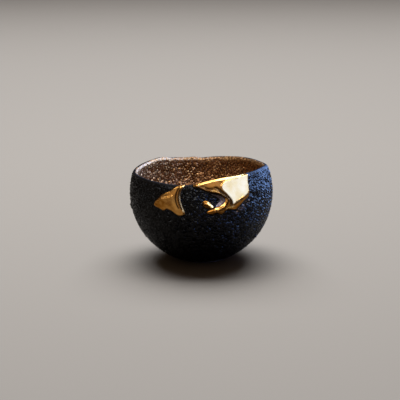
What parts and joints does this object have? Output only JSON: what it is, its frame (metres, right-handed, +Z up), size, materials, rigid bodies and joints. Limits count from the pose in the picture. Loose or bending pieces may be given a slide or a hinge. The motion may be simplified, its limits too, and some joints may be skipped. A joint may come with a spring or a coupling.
{
  "type": "sake cup",
  "caption": "Rounded stoneware sake cup with a wavy lip, a low foot ring, a beaded black outside and gilded plates that part round a torn opening.",
  "frame": {"origin": "on the ground, in the middle of the foot ring, under the cup", "axes": "+Z up through the mouth, -Y towards the gilded front, +X to the right seen from the front"},
  "size_m": [0.0718, 0.073, 0.0489],
  "materials": {
    "black_glaze": "black beaded stoneware glaze with a satin shine"
  },
  "bodies": {
    "root": {"cup": "black_glaze"}
  },
  "joints": []
}
